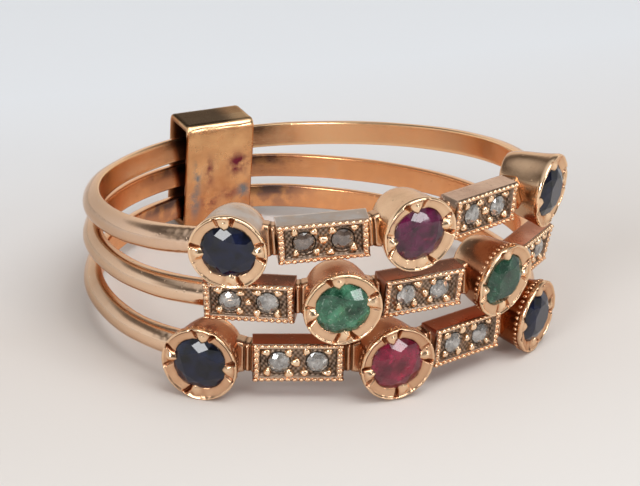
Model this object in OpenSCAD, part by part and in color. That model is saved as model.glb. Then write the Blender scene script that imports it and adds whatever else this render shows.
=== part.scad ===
// Three-band gemstone ring, lying on its side.
// Millimetres. +Z is up, the jewelled front faces -Y, the keeper at the back is toward +Y.
// The finger axis is vertical. The ring stands on the surface z = 0.

/* [Hoop plan] */
// Distance from the origin to the bands' inner wall at the keeper
back_y = 9.4; // [9:0.01:10]
// Inner radius of the hoop behind the stones, which is flatter than a circle
front_r = 10.2; // [9.8:0.1:10.6]
// Inner radius of the hoop at the shoulders
shoulder_r = 6.2; // [5.8:0.1:6.8]
// Inner radius of the hoop along the sides
side_r = 11; // [10.6:0.1:11.6]

/* [Bands] */
// Height of a band
band_h = 1.08; // [0.9:0.02:1.16]
// Thickness of a band, flat on the finger side and half round outside
band_t = 0.78; // [0.7:0.02:0.8]
// Height of the middle band above the lower one, at the keeper
middle_rise = 1.55; // [1.45:0.05:1.6]
// Height of the upper band above the lower one, at the keeper
upper_rise = 2.94; // [2.9:0.01:2.98]
// How much each band fans upward to the front: lower, middle, upper
band_pitch = [1.6, 4.4, 8.3]; // [0:0.1:10]
// How much each band rises toward its right side: lower, middle, upper
band_roll = [0, -0.5, 2.1]; // [-3:0.1:3]

/* [Settings] */
// Outer radius of a collet at its lip
lip_r = 1.55; // [1.45:0.01:1.58]
// Outer radius of a collet at its back
rear_r = 1.2; // [1.1:0.05:1.3]
// Height of the lip's rim above the hoop's inner wall
lip_h = 1.88; // [1.7:0.02:2]
// Radius of the lip's opening over the stone
opening_r = 1.07; // [1.04:0.01:1.08]
// Length of a plaque with two diamonds
plaque_w = 3.56; // [3.3:0.02:3.6]
// Height of a plaque
plaque_h = 1.64; // [1.6:0.02:1.7]
// Height of a plaque's face above the hoop's inner wall
plaque_face = 1.1; // [1.06:0.02:1.14]
// Height of the grooved neck between a plaque and a collet
neck_h = 1.4; // [1.2:0.02:1.5]
// Height of a neck's face above the hoop's inner wall
neck_face = 0.94; // [0.8:0.02:1]
// How far the settings of each row lean their faces down from the band: lower, middle, upper
head_lean = [5, 11, 12]; // [0:0.5:14]

/* [Stones] */
// Girdle radius of the sapphires, rubies and emeralds
stone_r = 1.1; // [1.09:0.01:1.11]
// Girdle radius of the diamonds
diamond_r = 0.43; // [0.4:0.01:0.44]
// Distance from a plaque's middle to each of its diamonds
diamond_x = 0.75; // [0.7:0.01:0.8]

/* [Keeper] */
// Length of the keeper along the bands
keeper_w = 3.4; // [3:0.1:3.5]
// Height of the keeper
keeper_h = 5.22; // [5.14:0.02:5.3]
// Lean of the keeper, top toward the front
keeper_lean = 4; // [3:0.1:4.5]
// How far round the hoop the keeper sits from the middle of the back, toward the left
keeper_turn = 4; // [2:0.5:6]
// Thickness of the keeper's finger-side wall
keeper_wall = 0.24; // [0.2:0.02:0.28]

/* [Hidden] */
$fn = 64;
lower = 0;
middle = 1;
upper = 2;
gold = [0.86, 0.62, 0.51];
worn_gold = [0.78, 0.5, 0.4];
sapphire_blue = [0.1, 0.12, 0.2];
ruby_red = [0.45, 0.08, 0.22];
emerald_green = [0.16, 0.42, 0.3];
diamond_grey = [0.75, 0.76, 0.78];

// Angles from the front, seen from above, of each row's coloured stones
stones = [[-40.5, -2.6, 35.2], [-13.6, 22.4], [-34.9, 1.2, 39.3]];

// The hoop's inner wall is a chain of tangent arcs, the same on both sides of the front.
// Each arc ends where its outward normal has turned this far from the front.
turns = [0, 40, 80, 150, 180];

// Centre of the next arc, which touches the arc before it where the normal is at angle a
function next_centre(c, r, r_next, a) = c + (r - r_next) * [cos(a), sin(a)];

// Arc centres as [toward the front, to the side], worked out with the first at the origin
c0 = [0, 0];
c1 = next_centre(c0, front_r, shoulder_r, turns[1]);
c2 = next_centre(c1, shoulder_r, side_r, turns[2]);
// The back arc closes the hoop on its middle line
back_r = side_r + c2[1] / sin(turns[3]);
c3 = next_centre(c2, side_r, back_r, turns[3]);
radii = [front_r, shoulder_r, side_r, back_r];
// Shift that puts the inner wall at back_y behind the origin
shift = [back_r - c3[0] - back_y, 0];
centres = [c0 + shift, c1 + shift, c2 + shift, c3 + shift];

// Number of the arc that holds an angle from 0 to 180
function arc_of(a) = a <= turns[1] ? 0 : a <= turns[2] ? 1 : a <= turns[3] ? 2 : 3;

// Inner wall at angle a from the front, positive to the right, as [x, y]
function wall_at(a) =
    let (k = arc_of(abs(a)), side = a < 0 ? -1 : 1)
    [side * centres[k][1] + radii[k] * sin(a), -centres[k][0] - radii[k] * cos(a)];

// Height of the lip's outer edge above the inner wall. A collet leans about its middle there.
lip_level = lip_h - 0.2;

// Distance of the lip's lowest point in front of the keeper, for the stone at angle a
function lip_reach(a) = back_y - wall_at(a)[1] + lip_level * cos(a);

// The lower row's first collet touches the surface, so that sets the lower band's height
lower_z = lip_r * cos(band_pitch[lower] - head_lean[lower]) - lip_reach(stones[lower][0]) * sin(band_pitch[lower]);
row_z = [lower_z, lower_z + middle_rise, lower_z + upper_rise];

// Half a step between stones, and the plaque angles of each row
function mid(row, i) = (stones[row][i] + stones[row][i + 1]) / 2;
half_step = (stones[middle][1] - stones[middle][0]) / 2;
plaques = [
    [mid(lower, 0), mid(lower, 1)],
    [stones[middle][0] - half_step, mid(middle, 0), stones[middle][1] + half_step],
    [mid(upper, 0), mid(upper, 1)]
];

// First and last angle of each row's head, where the shank joins it
head_ends = [
    [stones[lower][0], stones[lower][2]],
    [plaques[middle][0], plaques[middle][2]],
    [stones[upper][0], stones[upper][2]]
];

stone_seat = lip_h - 0.16;
field = plaque_face - 0.16;
bead_r = 0.17;
claw_r = 0.15;
claw_angles = [8, 98, 188, 278];

// Children drawn flat, at their height in the row, move to the row's own lean
module in_row(row) {
    translate([0, back_y, row_z[row]])
        rotate([-band_pitch[row], 0, 0])
            rotate([0, -band_roll[row], 0])
                translate([0, -back_y, 0])
                    children();
}

// Children stand on the inner wall at angle a: +X along the band, +Y up the finger, +Z outward
module on_wall(a) {
    translate([wall_at(a)[0], wall_at(a)[1], 0])
        rotate([0, 0, a])
            rotate([90, 0, 0])
                children();
}

// Children stand on the inner wall at angle a and lean their faces down, turning at height h
module leaning(row, a, h) {
    on_wall(a)
        translate([0, 0, h])
            rotate([head_lean[row], 0, 0])
                translate([0, 0, -h])
                    children();
}

// How far up the finger a setting that leans about height h has moved at height at_h
function lift(row, h, at_h) = (h - at_h) * sin(head_lean[row]);

// Band profile, x outward from the inner wall, made fuller all round by $fuller
module band_profile() {
    intersection() {
        translate([band_t - band_h / 2, 0])
            circle(r = band_h / 2 + $fuller);
        translate([0.03 - $fuller, -band_h])
            square([band_t, 2 * band_h]);
    }
}

// Height of a row's necks above the band's middle line, in step with the leaning plaques
function neck_lift(row) = lift(row, plaque_face, neck_face / 2);

// Square bar profile of the necks
module neck_profile(row) {
    translate([0, neck_lift(row) - neck_h / 2])
        square([neck_face, neck_h]);
}

// The hoop's arcs in turn round the ring: start and end angle, arc number, side.
// The front arc is listed again at the end, a full turn on.
spans = [
    [-turns[1], turns[1], 0, 1],
    [turns[1], turns[2], 1, 1],
    [turns[2], turns[3], 2, 1],
    [turns[3], 360 - turns[3], 3, 1],
    [360 - turns[3], 360 - turns[2], 2, -1],
    [360 - turns[2], 360 - turns[1], 1, -1],
    [360 - turns[1], 360 + turns[1], 0, 1]
];

// Sweep of the child profile along the inner wall from angle a to angle b.
// Every second arc is a hair fuller and reaches into its neighbours, so the arcs join soundly.
module rail(a, b) {
    reach = 0.6;
    for (span = spans) {
        from = max(a, span[0]);
        to = min(b, span[1]);
        k = span[2];
        $fuller = k % 2 == 1 ? 0.01 : 0;
        start = $fuller > 0 && from > a ? from - reach : from;
        end = $fuller > 0 && to < b ? to + reach : to;
        if (to - from > 1.5) {
            translate([span[3] * centres[k][1], -centres[k][0], 0])
                rotate_extrude(angle = end - start, start = start - 90)
                    translate([radii[k], 0])
                        children();
        }
    }
}

// Outer body of a collet, with a thin rim and a lip dished down to the stone
module collet_body() {
    rotate_extrude()
        polygon([
            [0, 0.2],
            [rear_r + 0.04, 0.2],
            [lip_r - 0.03, lip_h - 0.34],
            [lip_r, lip_level],
            [lip_r - 0.01, lip_h - 0.05],
            [lip_r - 0.05, lip_h],
            [lip_r - 0.11, lip_h],
            [opening_r, lip_h - 0.12],
            [0, lip_h - 0.12]
        ]);
}

// Back end of a collet, filed flush with the band on the finger side
module collet_foot(row) {
    translate([0, lift(row, lip_level, 0.3), -0.05])
        cylinder(h = 0.5, r = rear_r);
}

// Grains pushed over the stone at the inner end of each V cut
module claw_grains() {
    for (a = claw_angles) {
        rotate([0, 0, a])
            translate([opening_r + 0.13, 0, lip_h + 0.04])
                sphere(r = claw_r);
    }
}

// Space for the stone, open at the back
module collet_pocket() {
    rotate_extrude()
        polygon([
            [0, -0.4],
            [0.75, -0.4],
            [0.75, stone_seat - 0.38],
            [stone_r + 0.04, stone_seat - 0.04],
            [stone_r + 0.04, stone_seat + 0.08],
            [opening_r, stone_seat + 0.1],
            [opening_r, lip_h + 0.5],
            [0, lip_h + 0.5]
        ]);
}

// Four V cuts across the lip that leave claws over the stone
module claw_cuts() {
    for (a = claw_angles) {
        rotate([0, 0, a])
            translate([0, 0, lip_h - 0.16])
                linear_extrude(1)
                    polygon([[0.9, -0.02], [1.12, -0.03], [1.8, -0.34], [1.8, 0.34], [1.12, 0.03], [0.9, 0.02]]);
    }
}

// Plaque with a raised border and a bead at each corner of both diamonds
module plaque_body() {
    translate([-plaque_w / 2, -plaque_h / 2, 0.12])
        cube([plaque_w, plaque_h, plaque_face - 0.12]);
}

module plaque_beads() {
    for (x = [-diamond_x - 0.42, -diamond_x + 0.42, diamond_x - 0.42, diamond_x + 0.42]) {
        for (y = [-0.47, 0.47]) {
            translate([x, y, field + 0.03])
                sphere(r = bead_r);
        }
    }
    translate([0, 0, field + 0.03])
        sphere(r = bead_r);
}

module plaque_cuts() {
    translate([-plaque_w / 2 + 0.22, -plaque_h / 2 + 0.22, field])
        cube([plaque_w - 0.44, plaque_h - 0.44, 1]);
    for (x = [-diamond_x, diamond_x]) {
        translate([x, 0, field - 0.34])
            cylinder(h = 0.38, r1 = 0.05, r2 = diamond_r + 0.09);
    }
}

// Grooves across a neck, and a shallow scallop along its upper and lower edges
module neck_cuts(row) {
    for (x = [-0.1, 0.1]) {
        translate([x - 0.04, -1, neck_face - 0.1])
            cube([0.08, 2.4, 1]);
    }
    for (y = [-1, 1]) {
        translate([0, neck_lift(row) + y * (neck_h / 2 + 0.33), -1])
            cylinder(h = 3, r = 0.42);
    }
}

// Angle of the neck between a stone at angle s and a plaque at angle p
function neck_at(s, p) = s + (p - s) * 0.456;

// A band with everything soldered to it: collets, plaques and the necks between them
module band(row) {
    first = head_ends[row][0];
    last = head_ends[row][1];
    in_row(row) {
        difference() {
            union() {
                rail(last, 360 + first)
                    band_profile();
                rail(first, last)
                    neck_profile(row);
                for (a = stones[row]) {
                    on_wall(a)
                        collet_foot(row);
                    leaning(row, a, lip_level)
                        collet_body();
                }
                for (a = plaques[row]) {
                    leaning(row, a, plaque_face)
                        plaque_body();
                }
            }
            for (a = stones[row]) {
                leaning(row, a, lip_level) {
                    collet_pocket();
                    claw_cuts();
                }
            }
            for (a = plaques[row]) {
                leaning(row, a, plaque_face)
                    plaque_cuts();
                for (s = stones[row]) {
                    if (abs(s - a) < 25) {
                        on_wall(neck_at(s, a))
                            neck_cuts(row);
                    }
                }
            }
        }
        for (a = plaques[row]) {
            leaning(row, a, plaque_face)
                plaque_beads();
        }
        for (a = stones[row]) {
            leaning(row, a, lip_level)
                claw_grains();
        }
    }
}

// Ring of n points of radius r at height z, the first at angle a
function ring(n, r, z, a) = [for (i = [0:n - 1]) [r * cos(a + 360 * i / n), r * sin(a + 360 * i / n), z]];

// Brilliant cut, girdle at z = 0: table, 8 stars, 8 kites, 16 upper halves, a girdle band of 16,
// 16 lower halves and 8 mains to the culet
module cut_stone(r, table_r, crown_h, girdle_h, pavilion_h) {
    star_r = (r + table_r) / 2 * 1.03;
    star_h = crown_h * (r - star_r * cos(22.5)) / (r - table_r);
    lower_r = 0.45 * r;
    lower_h = pavilion_h * (1 - lower_r * cos(22.5) / r);
    points = concat(
        ring(8, table_r, girdle_h + crown_h, 0),
        ring(8, star_r, girdle_h + star_h, 22.5),
        ring(16, r, girdle_h, 0),
        ring(16, r, 0, 0),
        ring(8, lower_r, -lower_h, 22.5),
        [[0, 0, -pavilion_h]]
    );
    table = 0;
    star = 8;
    top = 16;
    bottom = 32;
    low = 48;
    culet = 56;
    faces = concat(
        [[for (i = [7:-1:0]) table + i]],
        [for (i = [0:7]) [table + i, table + (i + 1) % 8, star + i]],
        [for (i = [0:7]) [table + i, star + i, top + 2 * i, star + (i + 7) % 8]],
        [for (i = [0:7]) [star + i, top + 2 * i + 1, top + 2 * i]],
        [for (i = [0:7]) [star + i, top + (2 * i + 2) % 16, top + 2 * i + 1]],
        [for (i = [0:15]) [top + i, top + (i + 1) % 16, bottom + (i + 1) % 16, bottom + i]],
        [for (i = [0:7]) [low + i, bottom + 2 * i, bottom + 2 * i + 1]],
        [for (i = [0:7]) [low + i, bottom + 2 * i + 1, bottom + (2 * i + 2) % 16]],
        [for (i = [0:7]) [culet, low + (i + 7) % 8, bottom + 2 * i, low + i]]
    );
    polyhedron(points = points, faces = faces);
}

// Coloured stone number i of a row, turned in its collet
module row_stone(row, i, turn) {
    in_row(row)
        leaning(row, stones[row][i], lip_level)
            translate([0, 0, stone_seat])
                rotate([0, 0, turn])
                    cut_stone(stone_r, 0.64, 0.28, 0.03, 0.9);
}

// Diamond on plaque number i of a row, at its left (-1) or right (1) end
module row_diamond(row, i, end) {
    in_row(row)
        leaning(row, plaques[row][i], plaque_face)
            translate([end * diamond_x, 0, field + 0.03])
                rotate([0, 0, 11 * (i + 2 * row) + 17 * end])
                    cut_stone(diamond_r, 0.23, 0.13, 0.02, 0.32);
}

module upper_band() {
    color(gold)
        band(upper);
}

module middle_band() {
    color(gold)
        band(middle);
}

module lower_band() {
    color(gold)
        band(lower);
}

// Rectangle with round corners, w wide and h high, about its middle
module soft_rectangle(w, h, r) {
    square([w - 2 * r, h], center = true);
    square([w, h - 2 * r], center = true);
    for (x = [-1, 1]) {
        for (y = [-1, 1]) {
            translate([x * (w / 2 - r), y * (h / 2 - r)])
                circle(r = r);
        }
    }
}

// Sleeve that holds the three bands together, open at both ends
module keeper() {
    edge_r = 0.22;
    slot_t = 1.5;
    outer_wall = 0.36;
    depth = keeper_wall + slot_t + outer_wall;
    // Outward from the hoop's inner wall to the keeper's finger-side face
    inner_face = -0.42 - keeper_wall;
    spot = wall_at(keeper_turn - 180);
    // Height of the middle over its lowest edge when it leans, so that it touches the surface
    stand = (keeper_h / 2 - edge_r) * cos(keeper_lean) + (depth / 2 - edge_r) * sin(keeper_lean) + edge_r;
    color(worn_gold)
        translate([spot[0], spot[1], stand])
            rotate([0, 0, keeper_turn])
                translate([0, inner_face + depth / 2, 0])
                    rotate([keeper_lean, 0, 0])
                        rotate([90, 0, 90])
                            difference() {
                                translate([0, 0, -keeper_w / 2])
                                    linear_extrude(keeper_w)
                                        soft_rectangle(depth, keeper_h, edge_r);
                                translate([keeper_wall - depth / 2, -keeper_h / 2 + 0.34, -keeper_w])
                                    cube([slot_t, keeper_h - 0.68, 2 * keeper_w]);
                            }
}

module sapphire_upper_left() {
    color(sapphire_blue)
        row_stone(upper, 0, 4);
}

module ruby_upper() {
    color(ruby_red)
        row_stone(upper, 1, 12);
}

module sapphire_upper_right() {
    color(sapphire_blue)
        row_stone(upper, 2, 20);
}

module emerald_middle_left() {
    color(emerald_green)
        row_stone(middle, 0, 9);
}

module emerald_middle_right() {
    color(emerald_green)
        row_stone(middle, 1, 31);
}

module sapphire_lower_left() {
    color(sapphire_blue)
        row_stone(lower, 0, 38);
}

module ruby_lower() {
    color(ruby_red)
        row_stone(lower, 1, 2);
}

module sapphire_lower_right() {
    color(sapphire_blue)
        row_stone(lower, 2, 27);
}

// Diamonds 1 to 4 are in the upper row, 5 to 10 in the middle row and 11 to 14 in the lower row
module diamond_1() { color(diamond_grey) row_diamond(upper, 0, -1); }
module diamond_2() { color(diamond_grey) row_diamond(upper, 0, 1); }
module diamond_3() { color(diamond_grey) row_diamond(upper, 1, -1); }
module diamond_4() { color(diamond_grey) row_diamond(upper, 1, 1); }
module diamond_5() { color(diamond_grey) row_diamond(middle, 0, -1); }
module diamond_6() { color(diamond_grey) row_diamond(middle, 0, 1); }
module diamond_7() { color(diamond_grey) row_diamond(middle, 1, -1); }
module diamond_8() { color(diamond_grey) row_diamond(middle, 1, 1); }
module diamond_9() { color(diamond_grey) row_diamond(middle, 2, -1); }
module diamond_10() { color(diamond_grey) row_diamond(middle, 2, 1); }
module diamond_11() { color(diamond_grey) row_diamond(lower, 0, -1); }
module diamond_12() { color(diamond_grey) row_diamond(lower, 0, 1); }
module diamond_13() { color(diamond_grey) row_diamond(lower, 1, -1); }
module diamond_14() { color(diamond_grey) row_diamond(lower, 1, 1); }

upper_band();
middle_band();
lower_band();
keeper();
sapphire_upper_left();
ruby_upper();
sapphire_upper_right();
emerald_middle_left();
emerald_middle_right();
sapphire_lower_left();
ruby_lower();
sapphire_lower_right();
diamond_1();
diamond_2();
diamond_3();
diamond_4();
diamond_5();
diamond_6();
diamond_7();
diamond_8();
diamond_9();
diamond_10();
diamond_11();
diamond_12();
diamond_13();
diamond_14();
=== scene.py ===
# %% [markdown]
# # A three-band gemstone ring
#
# The ring lies on its side on pale paper. Three slender rose gold bands run through a flat sleeve at
# the back and fan out toward the front, where each carries a row of round collets and small diamond
# plaques. The solid model gives every size and place. This notebook builds the dressed surfaces over
# it: softly worn metal, beaded borders, claws cut from the lips, and gem materials. Such a ring could
# be sculpted by hand, but the same few forms return all over it, so each is worked out once.

import bmesh
import bpy
import numpy as np
from mathutils import Matrix, Vector


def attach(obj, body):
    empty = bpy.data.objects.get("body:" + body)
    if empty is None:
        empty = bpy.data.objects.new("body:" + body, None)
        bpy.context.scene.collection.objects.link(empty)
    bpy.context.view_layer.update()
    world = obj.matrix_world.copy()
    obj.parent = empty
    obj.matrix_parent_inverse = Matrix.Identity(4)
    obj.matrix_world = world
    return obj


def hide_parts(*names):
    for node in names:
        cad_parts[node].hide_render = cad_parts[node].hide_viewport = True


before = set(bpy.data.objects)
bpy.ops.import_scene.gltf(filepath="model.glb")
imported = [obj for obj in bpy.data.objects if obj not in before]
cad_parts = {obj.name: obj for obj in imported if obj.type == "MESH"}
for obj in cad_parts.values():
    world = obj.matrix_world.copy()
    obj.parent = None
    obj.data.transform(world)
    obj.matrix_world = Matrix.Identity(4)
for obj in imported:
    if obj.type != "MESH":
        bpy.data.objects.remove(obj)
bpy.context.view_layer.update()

# %% [markdown]
# ## Sizes
#
# These are the ring's own sizes in millimetres, the same as the solids'. Blender works in metres, so
# every surface is worked out in millimetres and scaled once, when its mesh is made. Angles are in
# degrees from the front, positive to the right, and heights from the hoop's inner wall. They could
# stand as bare numbers in each function, but named once here they keep the pieces fitting each other.

# %% Sizes in millimetres
MM = 0.001
LOWER, MIDDLE, UPPER = 0, 1, 2
ROWS = ("lower", "middle", "upper")
# Hoop: how far back its inner wall reaches, then its arcs' radii and the angles where they meet
BACK_Y = 9.4
FRONT_R, SHOULDER_R, SIDE_R = 10.2, 6.2, 11.0
TURNS = (0.0, 40.0, 80.0, 150.0, 180.0)
# Bands: height up the finger and thickness outward
BAND_H, BAND_T = 1.08, 0.78
# Rows: how high each stands over the lowest at the keeper, and how it leans
ROW_RISE = np.array([0.0, 1.55, 2.94])
PITCH = np.radians([1.6, 4.4, 8.3])
ROLL = np.radians([0.0, -0.5, 2.1])
HEAD_LEAN = np.radians([5.0, 11.0, 12.0])
# Where each row's stones stand round the hoop, in degrees
STONES = ((-40.5, -2.6, 35.2), (-13.6, 22.4), (-34.9, 1.2, 39.3))
# Collets: the lip, the level its face leans about, and the degrees from a stone's middle to the place
# inside the collet's wall where bands and necks end
LIP_R, LIP_H = 1.55, 1.88
LIP_LEVEL = LIP_H - 0.2
COLLET_WALL = 5.3
# How far each collet's four claws are turned, which differs by hand
CLAW_TURN = ((-6, 13, 5), (9, 8), (-2, 12, 8))
# Plaques: width, height, level of the face, and how far each diamond is from the middle
PLAQUE_W, PLAQUE_H, PLAQUE_FACE, DIAMOND_X = 3.56, 1.64, 1.1, 0.75
# Necks: height and level of the face
NECK_H, NECK_FACE = 1.4, 0.94
# Keeper: width, height, rounding of its edges, and how far it is turned and leans, in degrees
KEEPER_W, KEEPER_H, KEEPER_EDGE, KEEPER_TURN = 3.4, 5.22, 0.22, 4.0
KEEPER_LEAN = np.radians(4.0)
# Its walls on the finger side, the outer side and the ends, its slot's depth, and how far inside
# the hoop's wall the slot begins
KEEPER_WALLS, KEEPER_SLOT, KEEPER_SINK = (0.24, 0.36, 0.34), 1.5, 0.42
print("collets, mm across:", 2 * LIP_R)
print("plaques, mm:", PLAQUE_W, "by", PLAQUE_H)

# %% [markdown]
# ## The hoop seen from above
#
# A worn ring is never a true circle. This one is flatter behind the stones, tighter at the shoulders
# and nearly straight along the sides. A spline could be drawn by eye, but a chain of tangent arcs needs
# only a few radii, and each point of it is exact. Each next centre lies on the line through the last
# centre and the point where the arcs touch.


# %% Inner wall of the hoop
def arc_chain():
    """Centres (toward the front, to the side) and radii of the four arcs from the front to the back."""

    def step(c, r, r_next, turn):
        a = np.radians(turn)
        return c + (r - r_next) * np.array([np.cos(a), np.sin(a)])

    c0 = np.zeros(2)
    c1 = step(c0, FRONT_R, SHOULDER_R, TURNS[1])
    c2 = step(c1, SHOULDER_R, SIDE_R, TURNS[2])
    back_r = SIDE_R + c2[1] / np.sin(np.radians(TURNS[3]))
    c3 = step(c2, SIDE_R, back_r, TURNS[3])
    shift = np.array([back_r - c3[0] - BACK_Y, 0.0])
    return np.array([c0, c1, c2, c3]) + shift, np.array([FRONT_R, SHOULDER_R, SIDE_R, back_r])


CENTRES, RADII = arc_chain()


def hoop(angle):
    """Inner wall at an angle: centre + radius along the normal. Gives x, y and the normal's x, y."""
    turn = (np.asarray(angle, float) + 180.0) % 360.0 - 180.0
    k = np.searchsorted(TURNS[1:4], np.abs(turn))
    side = np.where(turn < 0, -1.0, 1.0)
    a = np.radians(turn)
    nx, ny = np.sin(a), -np.cos(a)
    return side * CENTRES[k, 1] + RADII[k] * nx, -CENTRES[k, 0] + RADII[k] * ny, nx, ny


def lower_row_height():
    """Height of the lower row at the keeper, so that its first collet's lip touches the paper."""
    first = STONES[LOWER][0]
    reach = BACK_Y - hoop(first)[1] + LIP_LEVEL * np.cos(np.radians(first))
    return LIP_R * np.cos(PITCH[LOWER] - HEAD_LEAN[LOWER]) - reach * np.sin(PITCH[LOWER])


ROW_Z = lower_row_height() + ROW_RISE
print("finger hollow, mm wide:", (2 * hoop(90)[0]).round(2))
print("row heights at the keeper, mm:", ROW_Z.round(3))

# %% [markdown]
# ## From flat rows to the fan
#
# Each row is worked out flat, then leans about the keeper: it pitches up toward the front and rolls a
# little to one side. The settings also lean their faces down, because the heads were bent back level
# after soldering. Parented objects could carry these turns, but the export puts each piece at the
# origin, so the turns are worked into the points. One function places whole arrays of points beside a
# spot on the wall, with x along the band, y up the finger and h outward.


# %% Placing points
def lean_row(row, x, y, z):
    """Flat row coordinates to the ring's own: roll about the front axis, then pitch about the keeper."""
    cr, sr = np.cos(ROLL[row]), np.sin(ROLL[row])
    cp, sp = np.cos(PITCH[row]), np.sin(PITCH[row])
    y = y - BACK_Y
    x, z = x * cr - z * sr, x * sr + z * cr
    y, z = y * cp + z * sp, z * cp - y * sp
    return np.stack(np.broadcast_arrays(x, y + BACK_Y, z + ROW_Z[row]), axis=-1)


def beside(row, angle, x, y, h, pivot=None):
    """Points beside one spot of the wall: wall point + x along the tangent + h along the normal. With
    a pivot height, y and h first turn about it by the row's lean."""
    if pivot is not None:
        c, s = np.cos(HEAD_LEAN[row]), np.sin(HEAD_LEAN[row])
        y, h = y * c - (h - pivot) * s, pivot + y * s + (h - pivot) * c
    wx, wy, nx, ny = hoop(angle)
    return lean_row(row, wx - x * ny + h * nx, wy + x * nx + h * ny, y)


def along_hoop(row, angle, h, y):
    """Points that follow the wall round the hoop, h outward and y up."""
    wx, wy, nx, ny = hoop(angle)
    return lean_row(row, wx + h * nx, wy + h * ny, y)


def plaque_angles(row):
    """Plaques sit midway between stones, and the middle row has one beyond each end too."""
    s = STONES[row]
    between = [(a + b) / 2 for a, b in zip(s, s[1:])]
    if row != MIDDLE:
        return between
    half = (s[1] - s[0]) / 2
    return [s[0] - half, *between, s[1] + half]


def smooth_step(low, high, v):
    """0 below low, 1 above high, with an even S curve between."""
    t = np.clip((v - low) / (high - low), 0, 1)
    return t * t * (3 - 2 * t)


for row in (LOWER, MIDDLE, UPPER):
    first = beside(row, STONES[row][0], 0, 0, LIP_LEVEL, LIP_LEVEL)
    print(f"{ROWS[row]} row, middle of its first lip, mm:", first.round(2))

# %% [markdown]
# ## Surfaces as grids
#
# Every piece is one or more grids of points, where a grid may close on itself either way. Curves and
# modifiers could make many of these forms too, but a grid keeps each formula in plain sight and gives
# each point its marks, such as how tarnished it is, which the materials read as attributes. The grids
# of a piece go into one mesh. Merging doubles closes the poles and seams, and then the normals are
# made to face outward.


# %% Grids to a mesh
def grid_faces(nu, nv, wrap_u, wrap_v):
    """Corner numbers of the quads between neighbouring points of an nu by nv grid."""
    i, j = np.meshgrid(np.arange(nu - (not wrap_u)), np.arange(nv - (not wrap_v)), indexing="ij")
    i2, j2 = (i + 1) % nu, (j + 1) % nv
    return np.stack([i * nv + j, i2 * nv + j, i2 * nv + j2, i * nv + j2], axis=-1).reshape(-1, 4)


def tube(p, marks):
    """Grid closed along v, with each end ring's middle added as a last ring, which closes the ends."""
    first, last = (np.broadcast_to(ring.mean(axis=0), ring.shape)[None] for ring in (p[0], p[-1]))
    spread = {}
    for key, value in marks.items():
        spread[key] = np.pad(np.broadcast_to(value, p.shape[:2]), ((1, 1), (0, 0)), "edge")
    return np.concatenate([first, p, last]), False, True, spread


def surface(name, grids, material, replaces=()):
    """One mesh from grids, riding on the ring. A grid is (points in mm, closed along u, closed along v,
    marks), where marks maps a name to a number or an array over the points."""
    points, faces, marks, start = [], [], {}, 0
    for p, wrap_u, wrap_v, given in grids:
        nu, nv = p.shape[:2]
        points.append(p.reshape(-1, 3) * MM)
        faces.append(grid_faces(nu, nv, wrap_u, wrap_v) + start)
        for key, value in given.items():
            marks.setdefault(key, []).append(np.broadcast_to(value, (nu, nv)).reshape(-1))
        start += nu * nv
    mesh = bpy.data.meshes.new(name)
    mesh.from_pydata(np.concatenate(points).tolist(), [], np.concatenate(faces).tolist(), shade_flat=False)
    for key, values in marks.items():
        layer = mesh.attributes.new(key, "FLOAT", "POINT")
        layer.data.foreach_set("value", np.concatenate(values).astype(np.float32))
    bm = bmesh.new()
    bm.from_mesh(mesh)
    bmesh.ops.remove_doubles(bm, verts=bm.verts, dist=1e-7)
    bmesh.ops.recalc_face_normals(bm, faces=bm.faces)
    bm.to_mesh(mesh)
    bm.free()
    mesh.materials.append(material)
    piece = bpy.data.objects.new(name, mesh)
    bpy.context.scene.collection.objects.link(piece)
    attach(piece, "root")
    if replaces:
        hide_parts(*replaces)
    print(f"{name}: {len(mesh.polygons)} faces")


print("corner numbers of a 2 by 3 grid's quads:", grid_faces(2, 3, False, False).tolist())

# %% [markdown]
# ## Colours and nodes
#
# Colours are sRGB hex values, turned to the linear values that shaders use. Node trees could be drawn
# by hand in the editor, but a script can be read and made again. One helper adds a node, sets it and
# links it: where an input is given as another node's output, it becomes a link. A Mix node shares its
# sockets between kinds of value, so its colours are inputs 6 and 7 and the mixed colour is output 2.


# %% Colour and node helpers
def tint(code):
    """sRGB hex to linear RGBA."""
    c = np.array([int(code[i : i + 2], 16) for i in (1, 3, 5)]) / 255
    return (*np.where(c <= 0.04045, c / 12.92, ((c + 0.055) / 1.055) ** 2.4), 1.0)


def add(tree, kind, inputs=None, out=0, stops=(), **props):
    """Adds one node and gives back one of its outputs, if it has any. inputs maps a socket's name or
    number to a value or to an output to link from, and stops are a ramp's (place, hex colour) pairs."""
    n = tree.nodes.new("ShaderNode" + kind)
    for key, value in props.items():
        setattr(n, key, value)
    for key, value in (inputs or {}).items():
        if isinstance(value, bpy.types.NodeSocket):
            tree.links.new(value, n.inputs[key])
        else:
            n.inputs[key].default_value = value
    for _ in stops[2:]:
        n.color_ramp.elements.new(0.5)
    for i, (place, code) in enumerate(stops):
        n.color_ramp.elements[i].position = place
        n.color_ramp.elements[i].color = tint(code)
    return n.outputs[out] if n.outputs else None


def new_material(name):
    """Empty material and its node tree."""
    m = bpy.data.materials.new(name)
    m.use_nodes = True
    m.node_tree.nodes.clear()
    return m, m.node_tree


print("copper red as linear light:", [round(float(v), 3) for v in tint("#A05830")])
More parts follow.
